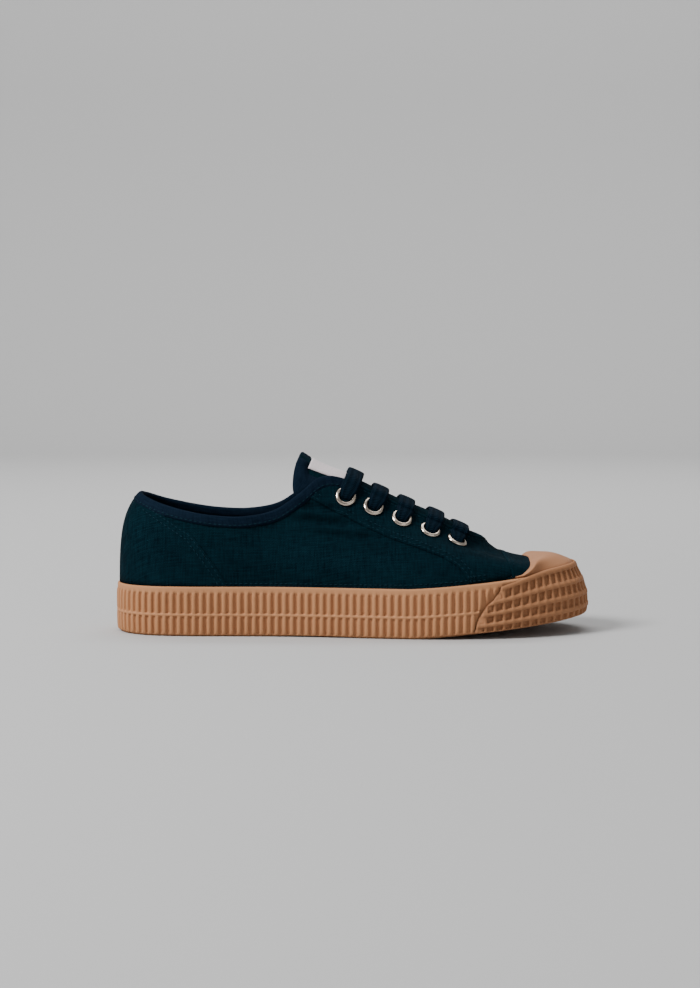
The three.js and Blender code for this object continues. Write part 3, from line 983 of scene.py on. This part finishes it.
def tongueRidge(at):
    beyond = max(0.0, at - tongueTop)
    at = clamp(at, 0, tongueTop)
    ridge = Vector((readRows(tongueRows, 0, at), tongueMid, readRows(tongueRows, 1, at)))
    return ridge + Vector(tongueLook["beyondWay"]) * beyond * tongueLook["beyondStep"]


tongueWalk = [0.0]
for walkStep in range(walkParts):
    walkFrom, walkTo = (tongueRidge(tongueTop - tongueTop * k / walkParts) for k in (walkStep, walkStep + 1))
    tongueWalk.append(tongueWalk[-1] + (walkTo - walkFrom).length)


def tongueRowAt(length):
    # the fractional row this far down from the tongue's top edge
    if length <= 0:
        return tongueTop - length / tongueLook["beyondStep"]
    for i, (before, after) in enumerate(zip(tongueWalk, tongueWalk[1:])):
        if after >= length:
            return tongueTop - tongueTop * (i + (length - before) / (after - before)) / walkParts
    return 0.0


def tonguePoint(length, across, lift):
    # a place on the tongue in its own flat measures, down from its top edge and across from its ridge
    at = tongueRowAt(length)
    power = tongueLook["power"]
    half = readRows(tongueRows, 2, min(at, tongueTop))
    share = across / half
    fall = readRows(tongueRows, 3, min(at, tongueTop)) * abs(share) ** power
    slope = power * fall / (half * share) if abs(share) > 0.001 else 0.0
    out = (throatUp + Vector((0, slope, 0))).normalized()
    return tongueRidge(at) + Vector((0, across, 0)) - throatUp * fall + out * lift


def tongueHalf(length):
    # half the width at this length, with the flare and the round corners of the free end
    radius = tongueLook["cornerRadius"]
    flare = 1.2 * (1 - smoothStep(length, 0, 30))
    half = readRows(tongueRows, 2, min(tongueRowAt(length), tongueTop)) + flare
    missing = radius - math.sqrt(max(0.0, radius ** 2 - (radius - clamp(length, 0, radius)) ** 2))
    return half - missing


def buildTongue(canvas, tape, labelCloth):
    look = tongueLook
    rows = look["rows"]
    whole = tongueWalk[-1] - look["hiddenEnd"]
    lengths = [whole * (i / rows) ** look["rowPower"] for i in range(rows + 1)]

    def place(a, b):
        length = lengths[round(b * rows)]
        return tonguePoint(length, (2 * a - 1) * tongueHalf(length), 0)

    bm = sheetMesh(look["columns"], rows, place, lambda spot, a, b: (spot.y / 1000, spot.x / 1000))
    bmesh.ops.reverse_faces(bm, faces=bm.faces)
    piece = finishMesh(bm, "tongueCanvas", [canvas])
    addSolidify(piece, look["wall"])
    addPiece(piece, "canvas", "tongue")

    def labelPlace(a, b):
        length = mixValue(look["labelStart"], look["labelEnd"], b)
        return tonguePoint(length, (2 * a - 1) * look["labelHalf"], look["labelLift"])

    bm = sheetMesh(24, 24, labelPlace, lengthUv(25, 30))
    bmesh.ops.reverse_faces(bm, faces=bm.faces)
    label = finishMesh(bm, "tongueLabel", [labelCloth])
    addSolidify(label, look["labelWall"])
    addPiece(label, "lining")
    buildTongueBinding(tape)
    print("sneaker: tongue")


def tongueEdge():
    # the free edge in the tongue's own flat measures, from one side round the top to the other
    path = []
    radius = tongueLook["cornerRadius"]
    half = tongueHalf(radius)
    for side in (-1, 1):
        leg = [(length, side * tongueHalf(length)) for length in steps(tongueLook["bindingEnd"], radius, 24)]
        turn = []
        for angle in steps(0, math.pi / 2, 12)[1:]:
            across = half - radius + radius * math.cos(angle)
            turn.append((radius - radius * math.sin(angle), side * across))
        piece = leg + turn
        path += piece if side < 0 else piece[::-1]
    return path


def buildTongueBinding(tape):
    path = tongueEdge()
    width = tongueLook["bindingWidth"]
    # depth from the edge and height off the face, round the folded tape
    profile = ((width, 0.1), (width - 0.2, 0.7), (width / 2, 0.95), (0.7, 0.9), (-0.3, 0.3), (-0.7, -1.2),
               (-0.7, -1.8), (-0.3, -3.2), (0.7, -3.9), (width / 2, -3.9), (width - 0.2, -3.7), (width, -3.1),
               (width, 0.1))

    def flat(share):
        i = min(int(share * (len(path) - 1)), len(path) - 2)
        rest = share * (len(path) - 1) - i
        return Vector(path[i]).lerp(Vector(path[i + 1]), rest)

    def place(a, b):
        spot = flat(a)
        ahead = (flat(min(a + 0.01, 1)) - flat(max(a - 0.01, 0))).normalized()
        inside = Vector((-ahead.y, ahead.x))
        if inside.dot(Vector((30, 0)) - spot) < 0:
            inside.negate()
        depth, lift = profile[round(b * (len(profile) - 1))]
        spot = spot + inside * depth
        return tonguePoint(spot.x, spot.y, lift)

    bm = sheetMesh(tongueLook["bindingColumns"], len(profile) - 1, place, lengthUv(160, bindingLook["tapeWidth"]))
    closedSheet(bm)
    addPiece(finishMesh(bm, "tongueBinding", [tape]), "canvas")


eyeletLook = {
    # radius and height of the rolled face with its barrel, and of the washer behind the canvas
    "profile": ((3.7, -2.4), (3.68, 0.4), (3.85, 0.95), (4.3, 1.4), (4.95, 1.55), (5.6, 1.4), (6.15, 1.0),
                (6.4, 0.5), (6.3, 0.1), (4.25, 0.05), (4.2, -2.4)),
    "washer": ((4.3, -2.5), (4.3, -3.0), (5.6, -3.0), (5.9, -2.7), (5.9, -2.5)),
    "sides": 56,
    "seat": 1.25,
}


def spinRing(bm, profile, sides):
    verts = [bm.verts.new((r / 1000, 0, z / 1000)) for r, z in profile]
    edges = [bm.edges.new(pair) for pair in zip(verts, verts[1:] + verts[:1])]
    bmesh.ops.spin(bm, geom=verts + edges, cent=(0, 0, 0), axis=(0, 0, 1), angle=2 * math.pi, steps=sides,
                   use_merge=True, use_duplicate=False)


def buildEyelets(metal):
    look = eyeletLook
    for (side, index), (spot, normal) in eyeletFrames.items():
        bm = bmesh.new()
        spinRing(bm, look["profile"], look["sides"])
        spinRing(bm, look["washer"], look["sides"])
        bmesh.ops.remove_doubles(bm, verts=bm.verts, dist=0.00001)
        bmesh.ops.recalc_face_normals(bm, faces=bm.faces)
        bmesh.ops.transform(bm, matrix=turnTo(normal), verts=bm.verts)
        bmesh.ops.translate(bm, vec=toFrame(spot + normal * look["seat"]), verts=bm.verts)
        node = f"eyelet_{side.lower()}_{index + 1}"
        addPiece(finishMesh(bm, f"eyelet{side}{index + 1}", [metal]), "eyelet_metal", node)
    print("sneaker: eyelets")


laceLook = {
    "width": 10.6,
    "holeWidth": 6.8,
    "thickness": 2.1,
    "sides": 16,
    "along": 90,
    # how high each bar arches over the tongue and how far it wanders from straight
    "arch": (2.6, 0.5, 0.5, 0.5, 0.7),
    "wander": (0.0, 0.6, -0.5, 0.4, -0.3),
    # out from the canvas and up the facing: inside the eyelet, then above the eyelet's seat
    "inside": ((-5.5, -1.0), (-2.0, -1.0)),
    "outside": ((0.9, -0.4), (2.5, 2.9), (2.3, 6.8)),
    "overEdge": 2.0,
    "overTongue": 0.3,
}


def laceHalf(index, side):
    # the lace's middle line from inside an eyelet, out and up over the facing's edge
    look = laceLook
    spot, normal = eyeletFrames[side, index]
    reach = spot.dot(throatLine)
    u = onSide(solve(lambda t: surface(onSide(t, side), 1).dot(throatLine), reach, 8.5, 16), side)
    up = (throatUp - normal * throatUp.dot(normal)).normalized()
    rim = surface(u, 1)
    out = (normalAt(u, 1) + throatUp).normalized()
    seat = eyeletLook["seat"]
    line = [spot + normal * off + up * climb for off, climb in look["inside"]]
    line += [spot + normal * (seat + off) + up * climb for off, climb in look["outside"]]
    return line + [rim + out * look["overEdge"]]


def smoothPath(points, share):
    # the place this share of the way along a smooth curve through the points
    count = len(points) - 1
    i = min(int(share * count), count - 1)
    t = share * count - i
    picks = [points[int(clamp(k, 0, count))] for k in (i - 1, i, i + 1, i + 2)]
    return Vector([cubic(*(p[axis] for p in picks), t) for axis in range(3)])


def ridgeLength(reach):
    # how far down the tongue's ridge is level with this place along the throat
    return solve(lambda length: tonguePoint(length, 0, 0).dot(throatLine), reach, 0, tongueWalk[-1])


def buildLaces(lace):
    look = laceLook
    for index in range(len(eyeletPlaces)):
        outer, inner = laceHalf(index, "Lateral"), laceHalf(index, "Medial")
        reach = (outer[-1].dot(throatLine) + inner[-1].dot(throatLine)) / 2
        lift = look["thickness"] / 2 + look["overTongue"] + look["arch"][index]
        ridge = tonguePoint(ridgeLength(reach), 0, lift)
        flanks = [ridge.lerp(half[-1], 0.55) + throatUp * 0.2 * (ridge.z - half[-1].z) for half in (outer, inner)]
        path = outer + [flanks[0], ridge, flanks[1]] + inner[::-1]
        wanderMost = look["wander"][index]

        def place(a, b, path=path, wanderMost=wanderMost):
            spot = smoothPath(path, a)
            ahead, behind = smoothPath(path, min(a + 0.004, 1)), smoothPath(path, max(a - 0.004, 0))
            tangent = (ahead - behind).normalized()
            middle = 1 - abs(2 * a - 1)
            width = mixValue(look["holeWidth"], look["width"], smoothStep(middle, 0.26, 0.5))
            across = (throatLine - tangent * throatLine.dot(tangent)).normalized()
            thick = across.cross(tangent).normalized()
            angle = 2 * math.pi * b
            flatSin = math.copysign(abs(math.sin(angle)) ** 0.6, math.sin(angle))
            flatCos = math.copysign(abs(math.cos(angle)) ** 0.75, math.cos(angle))
            wander = wanderMost * math.sin(math.pi * a)
            return spot + across * (flatCos * width / 2 + wander) + thick * flatSin * look["thickness"] / 2

        bm = sheetMesh(look["along"], look["sides"], place, lengthUv(90, 2 * look["width"]))
        closedSheet(bm)
        addPiece(finishMesh(bm, f"laceBar{index + 1}", [lace]), "lace", f"lace_bar_{index + 1}")
    print("sneaker: lace")


sewingLook = {
    "pitch": 3.0,
    "length": 2.1,
    "thick": 0.62,
    "flatness": 0.8,
    "rise": 0.12,
    "bindingRow": 4.7,         # below the rim
    "facingRow": 2.6,
    "facingSpan": (7.4, 12.3),
    "heelSpan": (1.5, 4.05),
    "throatStart": 9.6,
    "toeStart": 13.2,
    "footEnd": 12.4,
    "doubleRows": (1.5, 4.4),  # in from the panel's edge
    "toeRows": (1.2, 3.4),
}


def sewRow(bm, path):
    # one stitch every pitch along a path of places and surface normals
    look = sewingLook
    rest = 0.0
    for (a, normal), (b, _) in zip(path, path[1:]):
        span = (b - a).length
        if span < 0.0001:
            continue
        along = (b - a) / span
        while rest <= span:
            spot = a + along * rest + normal * look["rise"]
            side = normal.cross(along).normalized()
            turn = Matrix((along, side, along.cross(side))).transposed().to_4x4()
            made = bmesh.ops.create_uvsphere(bm, u_segments=8, v_segments=4, radius=0.0005)
            for vert in made["verts"]:
                vert.co.x *= look["length"]
                vert.co.y *= look["thick"]
                vert.co.z *= look["thick"] * look["flatness"]
            bmesh.ops.transform(bm, matrix=turn, verts=made["verts"])
            bmesh.ops.translate(bm, vec=toFrame(spot), verts=made["verts"])
            rest += look["pitch"]
        rest -= span


def shiftedPath(path, offset):
    # the same path moved sideways over the surface
    moved = []
    for i, (spot, normal) in enumerate(path):
        before, after = path[max(i - 1, 0)][0], path[min(i + 1, len(path) - 1)][0]
        along = (after - before).normalized()
        moved.append((spot + normal.cross(along) * offset, normal))
    return moved


def seamPath(stations, share, lift):
    return [(canvasPoint(u, share(u), lift), normalAt(u, share(u))) for u in stations]


def rimRow(stations, depth, lift, share):
    return [(rimPoint(u, depth, lift), normalAt(u, share)) for u in stations]


def buildSewing(thread):
    look, p = sewingLook, panelLook
    bm = bmesh.new()
    end, start = bindingLook["collarEnd"], look["throatStart"]
    sewRow(bm, rimRow(steps(-end, end, 220), look["bindingRow"], 1.02, 0.95))
    sewRow(bm, rimRow(steps(start, ringLength - start, 150), look["facingRow"], p["vampLift"], 0.97))
    for side, way in (("Medial", 1), ("Lateral", -1)):
        facingStations = [onSide(t, side) for t in steps(*look["facingSpan"], 90)]
        heelStations = [onSide(t, side) for t in steps(*look["heelSpan"], 60)]
        facing = seamPath(facingStations, lambda u: seamShare(u, facingSeam), p["vampLift"])
        heel = seamPath(heelStations, lambda u: clamp(seamShare(u, heelSeam), 0, 0.95), p["heelLift"])
        for offset in look["doubleRows"]:
            sewRow(bm, shiftedPath(facing, -offset * way))
            sewRow(bm, shiftedPath(heel, offset * way))
    start = look["toeStart"]
    toe = seamPath(steps(start, ringLength - start, 120), toeShare, p["toeLift"])
    for offset in look["toeRows"]:
        sewRow(bm, shiftedPath(toe, offset))
    addPiece(finishMesh(bm, "panelStitches", [thread]), "canvas")
    bm = bmesh.new()
    end = look["footEnd"]
    sewRow(bm, seamPath(steps(-end, end, 300), lambda u: 0.035, 0.15))
    addPiece(finishMesh(bm, "foxingStitches", [thread]), "canvas")
    print("sneaker: sewing")


# Node groups give heights, masks and values; each finish below links them into its own material.

def newGroup(name, inputs, outputs):
    group = bpy.data.node_groups.new(name, "ShaderNodeTree")
    for label, kind, value in inputs:
        socket = group.interface.new_socket(name=label, in_out="INPUT", socket_type=kind)
        if value is not None:
            socket.default_value = value
    for label, kind in outputs:
        group.interface.new_socket(name=label, in_out="OUTPUT", socket_type=kind)
    return group, group.nodes.new("NodeGroupInput"), group.nodes.new("NodeGroupOutput")


def addNode(tree, kind, links=None, **settings):
    node = tree.nodes.new(kind)
    for key, value in settings.items():
        setattr(node, key, value)
    for socket, source in (links or {}).items():
        if isinstance(source, bpy.types.NodeSocket):
            tree.links.new(source, node.inputs[socket])
        else:
            node.inputs[socket].default_value = source
    return node


def mathNode(tree, operation, *values):
    return addNode(tree, "ShaderNodeMath", dict(enumerate(values)), operation=operation).outputs[0]


def noiseNode(tree, place, scale, detail, roughness=0.5):
    return addNode(tree, "ShaderNodeTexNoise", {"Vector": place, "Scale": scale, "Detail": detail,
                                                "Roughness": roughness}).outputs["Fac"]


def rangeNode(tree, value, low, high, toLow=0.0, toHigh=1.0):
    return addNode(tree, "ShaderNodeMapRange", {"Value": value, "From Min": low, "From Max": high,
                                                "To Min": toLow, "To Max": toHigh}).outputs["Result"]


def setInputs(shader, **values):
    for label, value in values.items():
        shader.inputs[label.replace("_", " ")].default_value = value


def makeWeaveGroup():
    # plain weave with uneven threads: a height for the bump and a fleck for the colour
    group, given, put = newGroup(
        "plainWeave",
        (("Cloth", "NodeSocketVector", None), ("Threads", "NodeSocketFloat", 1100.0),
         ("Slub", "NodeSocketFloat", 0.5)),
        (("Height", "NodeSocketFloat"), ("Fleck", "NodeSocketFloat")))
    scaled = addNode(group, "ShaderNodeVectorMath",
                     {"Vector": given.outputs["Cloth"], "Scale": given.outputs["Threads"]},
                     operation="SCALE").outputs["Vector"]
    parts = addNode(group, "ShaderNodeSeparateXYZ", {"Vector": scaled})
    turns = [mathNode(group, "MULTIPLY", parts.outputs[axis], math.pi) for axis in ("X", "Y")]
    waves = [mathNode(group, "SINE", turn) for turn in turns]
    weave = mathNode(group, "MULTIPLY_ADD", mathNode(group, "MULTIPLY", *waves), 0.5, 0.5)
    threads = []
    for stretch in ((0.09, 1.0, 1.0), (1.0, 0.09, 1.0)):
        along = addNode(group, "ShaderNodeVectorMath", {0: scaled, 1: stretch},
                        operation="MULTIPLY").outputs["Vector"]
        threads.append(addNode(group, "ShaderNodeTexNoise", {"Vector": along, "Scale": 0.9, "Detail": 2.0},
                               noise_dimensions="2D").outputs["Fac"])
    fleck = mathNode(group, "MULTIPLY", mathNode(group, "ADD", *threads), 0.5)
    uneven = mathNode(group, "MULTIPLY", fleck, given.outputs["Slub"])
    group.links.new(mathNode(group, "ADD", weave, uneven), put.inputs["Height"])
    group.links.new(fleck, put.inputs["Fleck"])
    return group


def makeFadeGroup():
    # soft patches of fading or handling, stretched along the shoe
    group, given, put = newGroup(
        "softPatches",
        (("Place", "NodeSocketVector", None), ("Scale", "NodeSocketFloat", 24.0),
         ("Contrast", "NodeSocketFloat", 1.0)),
        (("Amount", "NodeSocketFloat"),))
    stretched = addNode(group, "ShaderNodeVectorMath", {0: given.outputs["Place"], 1: (0.7, 1.0, 1.3)},
                        operation="MULTIPLY").outputs["Vector"]
    noise = noiseNode(group, stretched, given.outputs["Scale"], 4.0, 0.6)
    centred = mathNode(group, "SUBTRACT", noise, 0.5)
    amount = mathNode(group, "MULTIPLY_ADD", centred, given.outputs["Contrast"], 0.5)
    group.links.new(amount, put.inputs["Amount"])
    return group


def makeBraidGroup():
    # two slanting sets of threads that meet in a herringbone along the lace
    group, given, put = newGroup(
        "flatBraid",
        (("Cloth", "NodeSocketVector", None), ("Pitch", "NodeSocketFloat", 720.0)),
        (("Height", "NodeSocketFloat"),))
    parts = addNode(group, "ShaderNodeSeparateXYZ", {"Vector": given.outputs["Cloth"]})
    ribWidth = 0.0023
    across = mathNode(group, "PINGPONG", parts.outputs["Y"], ribWidth)
    slant = mathNode(group, "ADD", parts.outputs["X"], across)
    turns = mathNode(group, "MULTIPLY", given.outputs["Pitch"], 2 * math.pi)
    wave = mathNode(group, "SINE", mathNode(group, "MULTIPLY", slant, turns))
    ribs = mathNode(group, "SINE", mathNode(group, "MULTIPLY", parts.outputs["Y"], 2 * math.pi / ribWidth))
    group.links.new(mathNode(group, "ADD", wave, mathNode(group, "MULTIPLY", ribs, 0.6)), put.inputs["Height"])
    return group


def startMaterial(name):
    material = bpy.data.materials.new(name)
    material.use_nodes = True
    tree = material.node_tree
    return material, tree, tree.nodes["Principled BSDF"], addNode(tree, "ShaderNodeTexCoord")


def linkBump(tree, shader, height, strength, distance):
    bump = addNode(tree, "ShaderNodeBump", {"Strength": strength, "Distance": distance, "Height": height})
    tree.links.new(bump.outputs["Normal"], shader.inputs["Normal"])


def useGroup(tree, group, links):
    return addNode(tree, "ShaderNodeGroup", links, node_tree=group)


def mixColour(tree, share, a, b):
    mix = addNode(tree, "ShaderNodeMix", {0: share}, data_type="RGBA")
    mix.inputs[6].default_value = a
    mix.inputs[7].default_value = b
    return mix.outputs[2]


clothLooks = {
    "canvas": {"name": "navyCanvas", "dark": (0.0006, 0.0042, 0.0072, 1), "light": (0.0030, 0.0150, 0.0220, 1)},
    "tape": {"name": "cottonTape", "dark": (0.0014, 0.0046, 0.0105, 1), "light": (0.0052, 0.0125, 0.0240, 1),
             "threads": 1900.0, "slub": 0.3, "bump": 0.25},
    "lining": {"name": "navyLining", "dark": (0.0012, 0.0036, 0.0085, 1), "light": (0.0036, 0.0082, 0.0160, 1),
               "threads": 1400.0, "bump": 0.2},
    "label": {"name": "labelCloth", "dark": (0.52, 0.46, 0.47, 1), "light": (0.66, 0.60, 0.61, 1),
              "threads": 2600.0, "slub": 0.3, "bump": 0.15, "sheen": 0.05},
    "thread": {"name": "navyThread", "dark": (0.0040, 0.0150, 0.0230, 1), "light": (0.0090, 0.0270, 0.0380, 1),
               "threads": 4000.0, "bump": 0.1},
}
rubberLooks = {
    "gum": {"name": "gumBand", "dark": (0.415, 0.190, 0.087, 1), "light": (0.470, 0.224, 0.108, 1)},
    # the guard is the same gum as the band, coloured darker and more saturated as painted shade
    "guard": {"name": "gumGuardPaintedShade", "dark": (0.305, 0.136, 0.062, 1), "light": (0.355, 0.165, 0.079, 1)},
    "cap": {"name": "gumCap", "dark": (0.325, 0.148, 0.070, 1), "light": (0.385, 0.182, 0.091, 1),
            "roughness": 0.55, "drag": 1.2},
    "tread": {"name": "gumTread", "dark": (0.300, 0.140, 0.066, 1), "light": (0.360, 0.172, 0.084, 1),
              "roughness": 0.75},
}


def makeCloth(groups, name, dark, light, threads=1100.0, slub=0.5, bump=0.35, sheen=0.0):
    material, tree, shader, coords = startMaterial(name)
    weave = useGroup(tree, groups["weave"], {"Cloth": coords.outputs["UV"], "Threads": threads, "Slub": slub})
    fade = useGroup(tree, groups["fade"], {"Place": coords.outputs["Object"], "Scale": 26.0, "Contrast": 0.5})
    share = mathNode(tree, "MULTIPLY", mathNode(tree, "ADD", weave.outputs["Fleck"], fade.outputs["Amount"]), 0.5)
    tree.links.new(mixColour(tree, rangeNode(tree, share, 0.38, 0.62), dark, light), shader.inputs["Base Color"])
    setInputs(shader, Roughness=0.88, Specular_IOR_Level=0.02, Sheen_Weight=sheen, Sheen_Roughness=0.5,
              Sheen_Tint=(0.35, 0.6, 0.75, 1))
    linkBump(tree, shader, weave.outputs["Height"], bump, 0.0003)
    return material


def makeRubber(groups, name, dark, light, roughness=0.66, drag=0.0):
    # moulded rubber with soft patches; drag adds fine lines across the shoe
    material, tree, shader, coords = startMaterial(name)
    fade = useGroup(tree, groups["fade"], {"Place": coords.outputs["Object"], "Scale": 14.0, "Contrast": 1.6})
    amount = fade.outputs["Amount"]
    tree.links.new(mixColour(tree, amount, dark, light), shader.inputs["Base Color"])
    tree.links.new(rangeNode(tree, amount, 0, 1, roughness - 0.07, roughness + 0.07), shader.inputs["Roughness"])
    setInputs(shader, Specular_IOR_Level=0.12)
    grain = noiseNode(tree, coords.outputs["Object"], 900.0, 2.0)
    if drag:
        lines = addNode(tree, "ShaderNodeVectorMath", {0: coords.outputs["Object"], 1: (1.0, 0.12, 1.0)},
                        operation="MULTIPLY")
        streaks = noiseNode(tree, lines.outputs["Vector"], 160.0, 3.0)
        grain = mathNode(tree, "ADD", grain, mathNode(tree, "MULTIPLY", streaks, drag))
    linkBump(tree, shader, grain, 0.12, 0.0004)
    return material


def makeMetal():
    material, tree, shader, coords = startMaterial("nickelEyelet")
    tarnish = noiseNode(tree, coords.outputs["Object"], 260.0, 3.0)
    colour = mixColour(tree, tarnish, (0.46, 0.38, 0.31, 1), (0.70, 0.61, 0.52, 1))
    tree.links.new(colour, shader.inputs["Base Color"])
    tree.links.new(rangeNode(tree, tarnish, 0, 1, 0.12, 0.26), shader.inputs["Roughness"])
    setInputs(shader, Metallic=1.0)
    return material


def makeLace(groups):
    material, tree, shader, coords = startMaterial("flatLace")
    braid = useGroup(tree, groups["braid"], {"Cloth": coords.outputs["UV"], "Pitch": 620.0}).outputs["Height"]
    # the lace's colour follows the braid's height: painted shade in the grooves and painted light on the raised
    # threads
    share = rangeNode(tree, braid, -1.4, 1.4)
    colour = mixColour(tree, share, (0.0006, 0.0034, 0.0068, 1), (0.0042, 0.0130, 0.0235, 1))
    tree.links.new(colour, shader.inputs["Base Color"])
    setInputs(shader, Roughness=0.8, Specular_IOR_Level=0.02)
    linkBump(tree, shader, braid, 0.5, 0.0004)
    return material


def makeMaterials():
    groups = {"weave": makeWeaveGroup(), "fade": makeFadeGroup(), "braid": makeBraidGroup()}
    made = {piece: makeCloth(groups, **look) for piece, look in clothLooks.items()}
    made.update((piece, makeRubber(groups, **look)) for piece, look in rubberLooks.items())
    made["metal"] = makeMetal()
    made["lace"] = makeLace(groups)
    print("sneaker: materials")
    return made


def buildShoe():
    m = makeMaterials()
    buildFoxing(m["gum"])
    buildGuard(m["guard"])
    buildOutsole(m["tread"])
    buildUpper(m["canvas"], m["lining"])
    buildPanels(m["canvas"])
    buildBinding(m["tape"], m["canvas"])
    buildCap(m["cap"])
    buildTongue(m["canvas"], m["tape"], m["label"])
    buildInsole(m["lining"])
    buildEyelets(m["metal"])
    buildLaces(m["lace"])
    buildSewing(m["thread"])


camera()
buildStage()
buildLights()
buildShoe()
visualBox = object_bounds()
sizes = {"cad": cadBox, "visual": visualBox}
{name: [list(corner) for corner in box] for name, box in sizes.items()}
